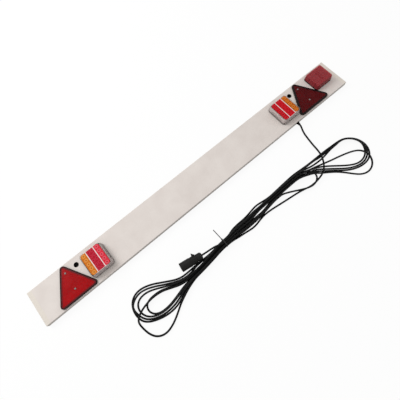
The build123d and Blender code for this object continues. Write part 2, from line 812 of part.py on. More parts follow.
save(cable_tie, "cable_tie")

# Plug: seven-pin round plug lying on its side, with a shrouded face and a domed rear cap
profile_plane = Plane(origin=plug_face, x_dir=plug_axis, z_dir=plug_axis.cross(Vector(0, 0, 1)))
plug_axis_line = Axis(plug_face, plug_axis)
cavity_radius = plug_radius - plug_wall
insert_start = plug_cavity_depth - plug_insert_length
with BuildPart() as plug_shell:
    with BuildSketch(profile_plane):
        with BuildLine():
            Polyline(
                (0, cavity_radius),
                (0, plug_radius - 0.8),
                (0.8, plug_radius),
                (plug_grip_start, plug_radius),
                (plug_grip_start + 2, plug_grip_radius),
                (plug_body_length, plug_grip_radius - 1),
                (plug_body_length, cable_radius + cable_fit),
                (plug_cavity_depth, cable_radius + cable_fit),
                (plug_cavity_depth, cavity_radius),
                close=True,
            )
        make_face()
    revolve(axis=plug_axis_line)
    rib_start = plug_face + plug_axis * (plug_grip_start + 4)
    rib_plane = Plane(origin=rib_start, x_dir=(0, 0, 1), z_dir=plug_axis)
    with BuildSketch(rib_plane):
        with PolarLocations(plug_grip_radius - 0.7, plug_rib_count):
            Rectangle(2.4, plug_rib_width)
    extrude(amount=plug_body_length - plug_grip_start - 8)
    lug_plane = Plane(
        origin=plug_face - Vector(0, 0, plug_lug_thickness / 2), x_dir=plug_axis, z_dir=(0, 0, 1)
    )
    with BuildSketch(lug_plane):
        with BuildLine():
            Polyline(
                (plug_lug_distance + plug_lug_length, plug_grip_radius - 2),
                (plug_lug_distance - 5, plug_grip_radius - 2),
                (plug_lug_distance - 2, plug_radius + plug_lug_rise),
                (plug_lug_distance, plug_radius + plug_lug_rise),
            )
            RadiusArc(
                (plug_lug_distance, plug_radius + plug_lug_rise),
                (plug_lug_distance + plug_lug_length, plug_grip_radius - 2),
                -2 * plug_lug_length,
            )
        make_face()
    extrude(amount=plug_lug_thickness)
    with BuildSketch(profile_plane):
        with Locations((plug_body_length + plug_lug_length, 0)):
            Rectangle(2 * plug_lug_length, 4 * plug_radius)
    extrude(amount=2 * plug_radius, both=True, mode=Mode.SUBTRACT)
save(plug_shell, "plug_shell")

insert_plane = Plane(origin=plug_face + plug_axis * insert_start, x_dir=(0, 0, 1), z_dir=plug_axis)
with BuildPart() as plug_insert:
    with BuildSketch(insert_plane):
        Circle(cavity_radius - plug_insert_fit)
    extrude(amount=plug_insert_length)
    chamfer(plug_insert.faces().sort_by(Axis.X)[0].edges(), 0.6)
save(plug_insert, "plug_insert")

with BuildPart() as plug_pins:
    with BuildSketch(insert_plane):
        Circle(plug_pin_radius)
        with PolarLocations(plug_pin_circle, plug_pin_count):
            Circle(plug_pin_radius)
    extrude(amount=plug_pin_recess - insert_start)
save(plug_pins, "plug_pins")

with BuildPart() as plug_cap:
    with BuildSketch(profile_plane):
        with BuildLine():
            Polyline(
                (plug_body_length, cable_radius + cable_fit),
                (plug_body_length, plug_cap_radius - 1),
                (plug_body_length + 1, plug_cap_radius),
                (plug_length - 0.6 * plug_cap_nose, plug_cap_radius),
                (plug_length - 0.2 * plug_cap_nose, 0.5 * (plug_cap_radius + plug_cap_nose)),
                (plug_length, plug_cap_nose),
                (plug_length, cable_radius + cable_fit),
                close=True,
            )
        make_face()
    revolve(axis=plug_axis_line)
save(plug_cap, "plug_cap")
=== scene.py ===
import math

import bpy
from mathutils import Matrix, Vector


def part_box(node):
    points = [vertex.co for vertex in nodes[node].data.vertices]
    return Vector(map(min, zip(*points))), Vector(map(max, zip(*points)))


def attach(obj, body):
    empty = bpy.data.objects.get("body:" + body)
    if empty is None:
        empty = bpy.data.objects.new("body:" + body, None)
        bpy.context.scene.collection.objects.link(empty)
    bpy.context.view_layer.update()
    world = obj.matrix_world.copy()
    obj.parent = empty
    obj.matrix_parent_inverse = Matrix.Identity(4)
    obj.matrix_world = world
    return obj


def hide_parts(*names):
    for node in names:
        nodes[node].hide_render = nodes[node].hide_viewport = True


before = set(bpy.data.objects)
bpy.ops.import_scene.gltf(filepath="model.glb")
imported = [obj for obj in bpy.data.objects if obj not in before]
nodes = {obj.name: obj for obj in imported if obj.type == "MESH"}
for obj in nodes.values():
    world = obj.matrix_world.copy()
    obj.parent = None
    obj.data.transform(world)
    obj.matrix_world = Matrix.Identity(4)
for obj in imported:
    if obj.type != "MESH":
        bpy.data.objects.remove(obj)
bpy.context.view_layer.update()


# Camera: stands over the left end of the board and looks down across it, with a wide lens.
# Its place was fitted to the board's edges, the triangles' corners and the lamps.
camera_right = Vector((0.76539, -0.64124, -0.05472))
camera_up = Vector((0.62352, 0.7178, 0.30981))
camera_back = Vector((-0.15939, -0.27124, 0.94922))
camera_place = Vector((-0.24013, -0.38101, 1.11974))
camera_axes = Matrix((camera_right, camera_up, camera_back)).transposed().to_4x4()
camera = bpy.data.objects.new("camera", bpy.data.cameras.new("camera"))
camera.data.sensor_width = 36.0
camera.data.lens = 27.351
camera.data.clip_start = 0.05
camera.matrix_world = Matrix.Translation(camera_place) @ camera_axes
bpy.context.scene.collection.objects.link(camera)
bpy.context.scene.camera = camera
bpy.context.scene.view_settings.view_transform = "Standard"


# Studio: a plain pale paper floor and an even white surround, with one wide soft lamp high behind the board.
# What the camera, a mirror or a glass sees of floor and surround is white; the floor still takes shadow.
def linear(hex_colour):
    """An sRGB hex colour as the linear values that a socket takes."""
    parts = [int(hex_colour[i:i + 2], 16) / 255 for i in (0, 2, 4)]
    return [c / 12.92 if c <= 0.04045 else ((c + 0.055) / 1.055) ** 2.4 for c in parts] + [1.0]


def put(tree, kind, settings=None, feeds=None, stops=()):
    """Adds a node with its settings, what feeds its sockets, by name or by number, and a ramp's stops."""
    made = tree.nodes.new(kind)
    for name, value in (settings or {}).items():
        if isinstance(name, int) or name in made.inputs:
            made.inputs[name].default_value = value
        else:
            setattr(made, name, value)
    for name, source in (feeds or {}).items():
        tree.links.new(source, made.inputs[name])
    for stop in stops[1:-1]:
        made.color_ramp.elements.new(stop[0])
    for number, (spot, colour) in enumerate(stops):
        made.color_ramp.elements[number].position = spot
        made.color_ramp.elements[number].color = linear(colour)
    return made


def material(name):
    """An empty material and its tree."""
    made = bpy.data.materials.new(name)
    made.use_nodes = True
    made.node_tree.nodes.clear()
    return made, made.node_tree


def looked_at(tree):
    """One for the rays that look at the floor or the surround, nought for the light that bounces off them."""
    path = put(tree, "ShaderNodeLightPath").outputs
    first = put(
        tree, "ShaderNodeMath", {"operation": "MAXIMUM"},
        {0: path["Is Camera Ray"], 1: path["Is Glossy Ray"]},
    )
    both = put(
        tree, "ShaderNodeMath", {"operation": "MAXIMUM"},
        {0: first.outputs[0], 1: path["Is Transmission Ray"]},
    )
    return both.outputs[0]


surround_level = 0.65
world = bpy.data.worlds.new("studio")
bpy.context.scene.world = world
world.use_nodes = True
tree = world.node_tree
tree.nodes.clear()
light = put(tree, "ShaderNodeBackground", {"Color": linear("FFFFFF"), "Strength": surround_level})
white = put(tree, "ShaderNodeBackground", {"Color": linear("FFFFFF"), "Strength": 1.0})
surround = put(
    tree, "ShaderNodeMixShader", {},
    {"Fac": looked_at(tree), 1: light.outputs[0], 2: white.outputs[0]},
)
put(tree, "ShaderNodeOutputWorld", {}, {"Surface": surround.outputs[0]})

# Matt paper: nearly plain white where it is looked at, with a faint shadow, and a dull grey in what it
# throws back, so that the sides of the object stay darker than their tops.
paper_glow = 0.9
paper, tree = material("pale_paper_floor")
lit_sheet = put(tree, "ShaderNodeBsdfDiffuse", {"Color": linear("FBFBFA")})
glow = put(tree, "ShaderNodeEmission", {"Color": linear("FFFFFF"), "Strength": 1.0})
seen_sheet = put(
    tree, "ShaderNodeMixShader", {"Fac": paper_glow}, {1: lit_sheet.outputs[0], 2: glow.outputs[0]}
)
dull_sheet = put(tree, "ShaderNodeBsdfDiffuse", {"Color": linear("7A7977")})
floor_mix = put(
    tree, "ShaderNodeMixShader", {},
    {"Fac": looked_at(tree), 1: dull_sheet.outputs[0], 2: seen_sheet.outputs[0]},
)
put(tree, "ShaderNodeOutputMaterial", {}, {"Surface": floor_mix.outputs[0]})

# The floor lies a hair below the board, so that no two faces are in one plane.
floor_half = 6.0
floor_drop = 0.0004
floor_corners = [(floor_half * x, floor_half * y, 0) for x, y in ((-1, -1), (1, -1), (1, 1), (-1, 1))]
floor_mesh = bpy.data.meshes.new("floor")
floor_mesh.from_pydata(floor_corners, [], [(0, 1, 2, 3)])
floor_mesh.materials.append(paper)
floor = bpy.data.objects.new("floor", floor_mesh)
floor.location.z = -floor_drop
bpy.context.scene.collection.objects.link(floor)

lamp_place = Vector((-1.3, 2.0, 2.1))
lamp_size = 1.8
lamp_watts = 52.0
key_lamp = bpy.data.objects.new("key_lamp", bpy.data.lights.new("key_lamp", "AREA"))
key_lamp.data.size = lamp_size
key_lamp.data.energy = lamp_watts
key_lamp.location = lamp_place
key_lamp.rotation_euler = (-lamp_place).to_track_quat("-Z", "Y").to_euler()
bpy.context.scene.collection.objects.link(key_lamp)


def clad(made, *names):
    """Gives a material to the CAD nodes that are made of it."""
    for name in names:
        mesh = nodes[name].data
        mesh.materials.clear()
        mesh.materials.append(made)


die_line_mm = 1.6
die_line_height_mm = 0.06
drawn_out = 0.02
mottle_mm = 60.0
white_pvc, tree = material("white_pvc_drawn_matt")
where = put(tree, "ShaderNodeTexCoord").outputs["Object"]
drawn = put(tree, "ShaderNodeMapping", {"Scale": (drawn_out, 1.0, 1.0)}, {"Vector": where})
lines = put(
    tree, "ShaderNodeTexNoise", {"Scale": 1000 / die_line_mm, "Detail": 2.0}, {"Vector": drawn.outputs[0]}
)
ridges = put(
    tree, "ShaderNodeBump", {"Distance": die_line_height_mm / 1000}, {"Height": lines.outputs["Fac"]}
)
mottle = put(tree, "ShaderNodeTexNoise", {"Scale": 1000 / mottle_mm, "Detail": 4.0}, {"Vector": where})
skin = put(
    tree, "ShaderNodeValToRGB", {}, {"Fac": mottle.outputs["Fac"]}, ((0.3, "DAD1CB"), (0.7, "E2DAD4"))
)
body = put(
    tree, "ShaderNodeBsdfPrincipled", {"Roughness": 0.6, "Specular IOR Level": 0.2},
    {"Base Color": skin.outputs["Color"], "Normal": ridges.outputs[0]},
)
put(tree, "ShaderNodeOutputMaterial", {}, {"Surface": body.outputs[0]})
clad(white_pvc, "plank")


# End caps: thin-walled plugs of ivory PVC, moulded with a fine spark-eroded grain.
# They are pushed into the sawn ends of the board, and are a shade warmer than it and as matt.
def moulded(name, deep, pale, grain_mm, relief_mm, roughness, gloss=0.5, metal=0.0):
    """A finish mottled between two close colours, with a shallow grain of the same size in millimetres.

    The grain of a real surface is about a tenth of a millimetre; it is drawn coarser so that it shows.
    """
    made, tree = material(name)
    where = put(tree, "ShaderNodeTexCoord").outputs["Object"]
    grain = put(tree, "ShaderNodeTexNoise", {"Scale": 1000 / grain_mm, "Detail": 3.0}, {"Vector": where})
    tone = put(
        tree, "ShaderNodeValToRGB", {}, {"Fac": grain.outputs["Fac"]}, ((0.35, deep), (0.65, pale))
    )
    pits = put(tree, "ShaderNodeBump", {"Distance": relief_mm / 1000}, {"Height": grain.outputs["Fac"]})
    body = put(
        tree, "ShaderNodeBsdfPrincipled",
        {"Roughness": roughness, "Specular IOR Level": gloss, "Metallic": metal},
        {"Base Color": tone.outputs["Color"], "Normal": pits.outputs[0]},
    )
    put(tree, "ShaderNodeOutputMaterial", {}, {"Surface": body.outputs[0]})
    return made


ivory_pvc = moulded(
    "ivory_pvc_moulded", "DCD4CA", "E3DBD1", grain_mm=3.0, relief_mm=0.04, roughness=0.55, gloss=0.2
)
clad(ivory_pvc, "left_end_cap", "right_end_cap")


# Strap grommets: black rubber eyelets in two holes through the board, snapped in by hand.
# Rubber is dull and nearly black, so the holes read as plain dark rings.
black_rubber = moulded(
    "black_rubber_moulded", "040403", "080807", grain_mm=2.0, relief_mm=0.05, roughness=0.75, gloss=0.04
)
clad(black_rubber, "left_strap_grommet", "right_strap_grommet")


# Wiring in the board: a black cable along one channel, a splice, and a thin black wire up to each lamp.
# All of it is plain PVC with a faint shine, seen only through the holes in the back.
wire_pvc = moulded(
    "black_pvc_wire", "121212", "1C1C1B", grain_mm=4.0, relief_mm=0.03, roughness=0.5, gloss=0.3
)
clad(wire_pvc, "inner_cable", "wire_splice", "left_lamp_wire", "right_lamp_wire", "fog_lamp_wire")


# Lamp trays: moulded trays of grey ABS on thin gaskets of foam rubber, each held by two studs from behind.
# Only a narrow band of them shows under the lens, with the gasket as a dull dark line below it.
gasket_rubber = moulded(
    "dark_rubber_gasket", "2B2827", "363230", grain_mm=2.0, relief_mm=0.05, roughness=0.8, gloss=0.15
)
clad(gasket_rubber, "left_lamp_gasket", "right_lamp_gasket", "fog_gasket")
# Moulded ABS has a light even grain and little shine.
grey_abs = moulded(
    "grey_abs_moulded", "6F6865", "7B7471", grain_mm=2.0, relief_mm=0.04, roughness=0.5, gloss=0.3
)
clad(grey_abs, "left_lamp_base", "right_lamp_base")


# Circuit boards and diodes: glass-epoxy boards on the trays' bosses, with light-emitting diodes soldered on.
# The lacquer of solder mask is a smooth deep green, in which the copper tracks show as paler lines.
# Blender's bricks stand four rows to a unit, and the mortar on both sides of a joint draws a track.
track_spacing_mm = 5.0
track_mm = 1.2
brick_unit_mm = 4 * track_spacing_mm
solder_mask, tree = material("green_solder_mask")
where = put(tree, "ShaderNodeTexCoord").outputs["Object"]
tracks = put(
    tree, "ShaderNodeTexBrick",
    {
        "Scale": 1000 / brick_unit_mm, "Mortar Size": 0.5 * track_mm / brick_unit_mm,
        "Color1": linear("245A3C"), "Color2": linear("1D4E33"), "Mortar": linear("4C8A62"),
    },
    {"Vector": where},
)
body = put(tree, "ShaderNodeBsdfPrincipled", {"Roughness": 0.35}, {"Base Color": tracks.outputs["Color"]})
put(tree, "ShaderNodeOutputMaterial", {}, {"Surface": body.outputs[0]})
clad(solder_mask, "left_lamp_led_board", "right_lamp_led_board", "fog_led_board")
# The diodes' resin is a warm yellowish white with a soft shine.
diode_resin = moulded("white_diode_resin", "E6DFC0", "F1ECD6", grain_mm=1.5, relief_mm=0.02, roughness=0.4)
clad(diode_resin, "left_lamp_leds", "right_lamp_leds", "fog_leds")


# Lamp lenses: clear polycarbonate shells with three windows of coloured polycarbonate in their openings.
# The flat rim is clear and shows the tray below, the walls are frosted, and the two bars between the windows
# are welded to white walls below and are milky, and their up-facing tops are painted pale as a painted
# highlight, so they read as bright lines.
def let_through(tree, tone, tint, share, roughness, gloss):
    """Ends a plastic that shows its own tone and lets a share of the light straight through, tinted."""
    body = put(
        tree, "ShaderNodeBsdfPrincipled", {"Roughness": roughness, "Specular IOR Level": gloss},
        {"Base Color": tone},
    )
    clear = put(tree, "ShaderNodeBsdfTransparent", {"Color": linear(tint)})
    both = put(tree, "ShaderNodeMixShader", {"Fac": share}, {1: body.outputs[0], 2: clear.outputs[0]})
    put(tree, "ShaderNodeOutputMaterial", {}, {"Surface": both.outputs[0]})
    return both


def see_through(name, deep, pale, tint, share, flow_mm, roughness, gloss):
    """A see-through plastic, clouded between two close colours by flow marks of a size in millimetres."""
    made, tree = material(name)
    where = put(tree, "ShaderNodeTexCoord").outputs["Object"]
    flow = put(tree, "ShaderNodeTexNoise", {"Scale": 1000 / flow_mm, "Detail": 2.0}, {"Vector": where})
    tone = put(
        tree, "ShaderNodeValToRGB", {}, {"Fac": flow.outputs["Fac"]}, ((0.35, deep), (0.65, pale))
    )
    return made, let_through(tree, tone.outputs["Color"], tint, share, roughness, gloss)


# How much light goes straight through the walls, the flat rim and the bars. The bars lie within these shares
# of the lens's width and length from its middle, and a face is a wall or flat by how far it looks up.
wall_share = 0.5
rim_share = 0.94
# The bars' tops let little through and show the pale tone: partly milky plastic, partly painted highlight.
bar_share_with_painted_highlight = 0.08
bars_across = 0.25
bars_along = 0.455
wall_looks_up = 0.7
flat_looks_up = 0.95
clear_pc, clear_mix = see_through(
    "clear_polycarbonate", "E6D6D3", "F4E6E3", "FCFEFC", wall_share, flow_mm=8.0, roughness=0.15, gloss=0.2
)
tree = clear_pc.node_tree
facing = put(tree, "ShaderNodeNewGeometry").outputs["Normal"]
upward = put(tree, "ShaderNodeSeparateXYZ", {}, {"Vector": facing}).outputs["Z"]
place = put(tree, "ShaderNodeTexCoord").outputs["Generated"]
middle = (0.5, 0.5, 0)
centred = put(tree, "ShaderNodeVectorMath", {"operation": "SUBTRACT", 1: middle}, {0: place})
spread = put(tree, "ShaderNodeVectorMath", {"operation": "ABSOLUTE"}, {0: centred.outputs[0]})
reach = put(tree, "ShaderNodeSeparateXYZ", {}, {"Vector": spread.outputs[0]}).outputs
across = put(tree, "ShaderNodeMath", {"operation": "LESS_THAN", 1: bars_across}, {0: reach["X"]})
along = put(tree, "ShaderNodeMath", {"operation": "LESS_THAN", 1: bars_along}, {0: reach["Y"]})
on_bar = put(tree, "ShaderNodeMath", {"operation": "MULTIPLY"}, {0: across.outputs[0], 1: along.outputs[0]})
flat_share = put(
    tree, "ShaderNodeMath", {"operation": "MULTIPLY_ADD", 1: bar_share_with_painted_highlight - rim_share, 2: rim_share},
    {0: on_bar.outputs[0]},
)
frosted = put(
    tree, "ShaderNodeMapRange",
    {"From Min": wall_looks_up, "From Max": flat_looks_up, "To Min": wall_share},
    {"Value": upward, "To Max": flat_share.outputs[0]},
)
tree.links.new(frosted.outputs["Result"], clear_mix.inputs["Fac"])

# Over each diode a window is moulded into a small round optic. Rows of rings are painted into its colour: a
# bright ring, a painted reflection of the metalised cup, round a darker centre, painted shade over the diode.
# A ring's stops are distances from the diode and which of the window's three colours is there.
cell_rows = 5
ring_span_mm = 10.0
painted_ring_stops_mm = ((1.6, 0), (3.4, 1), (5.8, 1), (8.0, 2))
window_share = 0.4


def cell_pitch(node, columns, rows):
    """The width and length, in millimetres, of the cells that part a node's box into columns and rows."""
    low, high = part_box(node)
    return (1000 * (high[0] - low[0]) / columns, 1000 * (high[1] - low[1]) / rows)


def celled(name, colours, tint, columns, cell_mm):
    """A coloured window with painted rings, of reflection and shade, at each diode, from centres to gaps."""
    made, tree = material(name)
    where = put(tree, "ShaderNodeTexCoord").outputs["Generated"]
    grid = (columns, cell_rows, 0)
    counted = put(tree, "ShaderNodeVectorMath", {"operation": "MULTIPLY", 1: grid}, {0: where})
    cell = put(tree, "ShaderNodeVectorMath", {"operation": "FRACTION"}, {0: counted.outputs[0]})
    centred = put(tree, "ShaderNodeVectorMath", {"operation": "SUBTRACT", 1: middle}, {0: cell.outputs[0]})
    span = (cell_mm[0] / ring_span_mm, cell_mm[1] / ring_span_mm, 0)
    sized = put(tree, "ShaderNodeVectorMath", {"operation": "MULTIPLY", 1: span}, {0: centred.outputs[0]})
    away = put(tree, "ShaderNodeVectorMath", {"operation": "LENGTH"}, {0: sized.outputs[0]})
    rings = put(
        tree, "ShaderNodeValToRGB", {}, {"Fac": away.outputs["Value"]},
        [(spot / ring_span_mm, colours[tone]) for spot, tone in painted_ring_stops_mm],
    )
    let_through(tree, rings.outputs["Color"], tint, window_share, roughness=0.15, gloss=0.12)
    return made


# The two lamps are painted in different colours: the right one's amber and tail are deeper, its stop a purer
# red.
window_tints = {"amber": "FEE8C3", "stop": "FEB4BC", "tail": "FEB6C1"}
window_columns = {"amber": 1, "stop": 2, "tail": 1}
window_colours_with_painted_rings = {
    "left_lamp": {
        "amber": ("B8620F", "FFAE54", "E88424"),
        "stop": ("B8142A", "DC3850", "CC2038"),
        "tail": ("B81828", "FF6C7C", "F4384C"),
    },
    "right_lamp": {
        "amber": ("94420A", "F48E2C", "CC6410"),
        "stop": ("C00F1C", "E61C2C", "DC1624"),
        "tail": ("8C0C16", "EE2430", "CC1624"),
    },
}
for lamp, windows in window_colours_with_painted_rings.items():
    clad(clear_pc, lamp + "_lens")
    for window, colours in windows.items():
        columns = window_columns[window]
        cell_mm = cell_pitch(lamp + "_" + window + "_window", columns, cell_rows)
        coloured_pc = celled(
            lamp + "_" + window + "_polycarbonate", colours, window_tints[window], columns, cell_mm
        )
        clad(coloured_pc, lamp + "_" + window + "_window")


# Lamp optics: one moulded ABS insert under each lens, with a small cup round every diode, metalised inside.
# Two thin walls of it are left white and part the three colours; they stand under the bars of the lens.
# Sizes and heights are in millimetres, and the heights are counted from the frame's own pieces.
diode_top = 1000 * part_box("left_lamp_leds")[1][2]
board_top = 1000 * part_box("left_lamp_led_board")[1][2]
window_back = 1000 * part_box("left_lamp_stop_window")[0][2]
optic_gap = 0.3
# A cup's outline goes up from its foot, in shares of its mouth's radius and of its height.
cup_profile = [(0.36, 0.0), (0.62, 0.12), (0.82, 0.4), (0.94, 0.75), (1.0, 1.0)]
cup_steps = 16
cup_bottom = diode_top + optic_gap
cup_top = window_back - 1.1
cup_mouths = {"amber": 6.6, "stop": 6.5, "tail": 6.6}
bar_width = 3.0
wall_half_length = 41.0
wall_foot = board_top + optic_gap
wall_shoulder = window_back - 0.1
wall_top = window_back + 0.5
wall_profile = [
    (-1.7, wall_foot), (1.7, wall_foot), (1.3, wall_shoulder),
    (0.9, wall_top), (-0.9, wall_top), (-1.3, wall_shoulder),
]
# The metal coat is thin and a little clouded, so a cup is a soft bright grey.
metalised = moulded(
    "metalised_abs", "DAD6CF", "EEEAE4", grain_mm=4.0, relief_mm=0.02, roughness=0.35, gloss=0.3
)
# Bare white ABS is even and hardly shines.
white_abs = moulded(
    "white_abs_moulded", "F6EEEE", "FCF6F6", grain_mm=4.0, relief_mm=0.02, roughness=0.5, gloss=0.2
)


def cell_centres(node, columns, rows):
    """The middles, in millimetres, of the cells that part a node's box, column by column."""
    low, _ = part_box(node)
    width, length = cell_pitch(node, columns, rows)
    return [
        (1000 * low[0] + (column + 0.5) * width, 1000 * low[1] + (row + 0.5) * length)
        for column in range(columns) for row in range(rows)
    ]


def mesh_piece(name, points, faces, finishes):
    """A mesh from points in millimetres, with its materials, riding on the board."""
    mesh = bpy.data.meshes.new(name)
    mesh.from_pydata([(x / 1000, y / 1000, z / 1000) for x, y, z in points], [], faces)
    for made in finishes:
        mesh.materials.append(made)
    piece = bpy.data.objects.new(name, mesh)
    bpy.context.scene.collection.objects.link(piece)
    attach(piece, "root")
    return piece


def join_rings(faces, first, count):
    """Adds the faces between a ring of points, counted from its first, and the ring that follows it."""
    for step in range(count):
        after = (step + 1) % count
        faces.append((first + step, first + after, first + count + after, first + count + step))


def add_cup(points, faces, x, y, bottom, top, mouth):
    """One open bowl, wider at its mouth, added to a list of points and faces."""
    first = len(points)
    for share, rise in cup_profile:
        z = bottom + rise * (top - bottom)
        for step in range(cup_steps):
            turn = math.tau * step / cup_steps
            points.append((x + mouth * share * math.cos(turn), y + mouth * share * math.sin(turn), z))
    for ring in range(len(cup_profile) - 1):
        join_rings(faces, first + ring * cup_steps, cup_steps)


for lamp in window_colours_with_painted_rings:
    points, faces = [], []
    for window, mouth in cup_mouths.items():
        for x, y in cell_centres(lamp + "_" + window + "_window", window_columns[window], cell_rows):
            add_cup(points, faces, x, y, cup_bottom, cup_top, mouth)
    cup_faces = len(faces)
    low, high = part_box(lamp + "_stop_window")
    count = len(wall_profile)
    for x in (1000 * low[0] - bar_width / 2, 1000 * high[0] + bar_width / 2):
        first = len(points)
        for y in (-wall_half_length, wall_half_length):
            points += [(x + across, y, z) for across, z in wall_profile]
        near = list(range(first, first + count))
        far = list(range(first + count, first + 2 * count))
        faces += [tuple(near), tuple(reversed(far))]
        faces += [(near[i - 1], far[i - 1], far[i], near[i]) for i in range(count)]
    optics = mesh_piece(lamp + "_optics", points, faces, [metalised, white_abs])
    for face in optics.data.polygons[cup_faces:]:
        face.material_index = 1


# Fog lamp: a smaller lamp at the right end, with a moulded red polycarbonate lens over a black tray.
# It has six by four metalised cups, one round each diode, under three ridges across the lens's face.
# Black ABS is a soft, slightly warm black.
black_abs = moulded(
    "black_abs_moulded", "140C0B", "1C100F", grain_mm=2.0, relief_mm=0.04, roughness=0.5, gloss=0.12
)
clad(black_abs, "fog_base")
# The lens is one deep red, a little milky, through which the cups are hardly made out.
fog_red_pc, _ = see_through(
    "fog_red_polycarbonate", "A03C42", "AE464C", "FEC6C8", share=0.5, flow_mm=6.0, roughness=0.15, gloss=0.2
)
clad(fog_red_pc, "fog_lens")
fog_columns = 6
fog_rows = 4
fog_cup_top = 42.5
fog_cup_mouth = 5.7
points, faces = [], []
for x, y in cell_centres("fog_led_board", fog_columns, fog_rows):
    add_cup(points, faces, x, y, cup_bottom, fog_cup_top, fog_cup_mouth)
mesh_piece("fog_optics", points, faces, [metalised])


# Reflectors: red acrylic triangles, smooth in front and moulded behind into small cube corners.
# The two are the same red acrylic; the left one is painted a clear red and the right one a deep wine red,
# a painted difference of light: the left one's brighter red stands for the light it throws back.
# Each is welded into a black tray along a smooth rim, painted as a darker band: partly the tray seen through
# the rim, partly painted shade.
clad(black_abs, "left_reflector_tray", "right_reflector_tray")
reflector_base = 1000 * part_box("left_reflector_tray")[0][1]
reflector_side = 150
reflector_corner = 12
reflector_inset = 3.2
corner_steps = 8
corner_half = reflector_side / 2 - reflector_corner
corner_line = reflector_base + reflector_corner
plate_edge = 0.7
edge_shoulder = 0.3 * plate_edge
rim_width = 5.0
prism_pitch = 5.0
prism_lift = 0.3
prism_margin = 0.62 * prism_pitch
prism_radius = prism_pitch / math.sqrt(3)
prism_rise = prism_radius / math.sqrt(2)
prism_row = 1.5 * prism_radius
prism_rows = int(reflector_side / prism_row) + 2
prism_columns = int(reflector_side / prism_pitch) + 2


def triangle(centre, inset, z):
    """The rounded outline of a reflector, drawn in from the tray's edge."""
    radius = reflector_corner - inset
    tip = corner_line + corner_half * math.sqrt(3)
    corners = (
        (centre + corner_half, corner_line, -90), (centre, tip, 30), (centre - corner_half, corner_line, 150)
    )
    ring = []
    for x, y, start in corners:
        for step in range(corner_steps + 1):
            turn = math.radians(start + 120 * step / corner_steps)
            ring.append((x + radius * math.cos(turn), y + radius * math.sin(turn), z))
    return ring


def inside(x, y, centre, inset):
    """Whether a place is within the straight sides of a reflector."""
    edge = reflector_corner - inset
    lean = math.cos(math.radians(30))
    rise = (y - corner_line) * math.sin(math.radians(30))
    from_base = y - (corner_line - edge)
    from_right = edge - ((x - centre - corner_half) * lean + rise)
    from_left = edge - ((centre - corner_half - x) * lean + rise)
    return min(from_base, from_right, from_left) > 0


def add_prism(points, faces, x, y, z):
    """One cube corner, point down, added to a list of points and faces."""
    first = len(points)
    points.append((x, y, z))
    for step in range(6):
        turn = math.radians(30 + 60 * step)
        rise = prism_rise * (1 + step % 2)
        points.append((x + prism_radius * math.cos(turn), y + prism_radius * math.sin(turn), z + rise))
    for step in (0, 2, 4):
        faces.append((first, first + 1 + step, first + 2 + step, first + 1 + (step + 2) % 6))


# For each: the plate's own colours and the tint of what is seen through it, then those of prisms and rim.
# The plate is clouded and shines little, the prisms break the red into small facets, and the rim is dark.
# The left one's brighter reds are painted light, and the dark of both rims is partly painted shade.
reflector_reds_with_painted_light = {
    "left_reflector": (("AE141A", "BC1C21", "FF9090"), ("C01820", "D02428"), ("560E12", "661417")),
    "right_reflector": (("5A1014", "661518", "E88084"), ("6A1016", "781419"), ("1A0607", "220809")),
}
for name, (plate_reds, prism_reds, rim_reds) in reflector_reds_with_painted_light.items():
    plate, _ = see_through(
        name + "_red_acrylic", *plate_reds, share=0.45, flow_mm=30.0, roughness=0.2, gloss=0.1
    )
    rim = moulded(
        name + "_rim_acrylic", *rim_reds, grain_mm=10.0, relief_mm=0.0, roughness=0.3, gloss=0.12
    )
    prisms = moulded(
        name + "_prism_acrylic", *prism_reds, grain_mm=20.0, relief_mm=0.0, roughness=0.3, gloss=0.2
    )
    low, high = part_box(name + "_lens")
    centre = 500 * (low[0] + high[0])
    plate_bottom = 1000 * low[2]
    plate_top = 1000 * high[2]
    levels = [
        (0, plate_bottom), (0, plate_top - plate_edge), (edge_shoulder, plate_top - edge_shoulder),
        (plate_edge, plate_top), (rim_width, plate_top),
    ]
    points, faces = [], []
    for further, z in levels:
        points += triangle(centre, reflector_inset + further, z)
    count = len(points) // len(levels)
    for level in range(len(levels) - 1):
        join_rings(faces, level * count, count)
    rim_faces = len(faces)
    faces.append(tuple(range(len(points) - count, len(points))))
    faces.append(tuple(reversed(range(count))))
    smooth_faces = len(faces)
    for row in range(prism_rows):
        for column in range(-prism_columns // 2, prism_columns // 2 + 1):
            x = centre + (column + 0.5 * (row % 2)) * prism_pitch
            y = reflector_base + row * prism_row
            if inside(x, y, centre, reflector_inset + prism_margin):
                add_prism(points, faces, x, y, plate_bottom + prism_lift)
    reflector = mesh_piece(name + "_acrylic", points, faces, [plate, prisms, rim])
    for face in reflector.data.polygons[smooth_faces:]:
        face.material_index = 1
    for face in reflector.data.polygons[:rim_faces]:
        face.material_index = 2
    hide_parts(name + "_lens")


# Fixings: blind rivets in bare aluminium hold the reflectors, and zinc-plated studs with nuts hold the lamps.
# The rivet heads are a dull mid grey, smooth from the setting tool; the zinc is bluish with a fine spangle.
bare_aluminium = moulded(
    "bare_aluminium_set", "6E6866", "807A78", grain_mm=1.5, relief_mm=0.02, roughness=0.55, metal=1.0
)
clad(bare_aluminium, "reflector_rivets")
zinc_steel = moulded(
    "zinc_plated_steel", "8F9498", "A9AEB2", grain_mm=1.0, relief_mm=0.02, roughness=0.4, metal=1.0
)
clad(zinc_steel, "lamp_studs", "lamp_washers", "lamp_nuts")


# Cable gland: a tapered boot of black rubber in the board's lower edge, so that the cable can't chafe.
# It is pushed into its hole, and is the same dull rubber as the strap grommets.
clad(black_rubber, "cable_grommet")


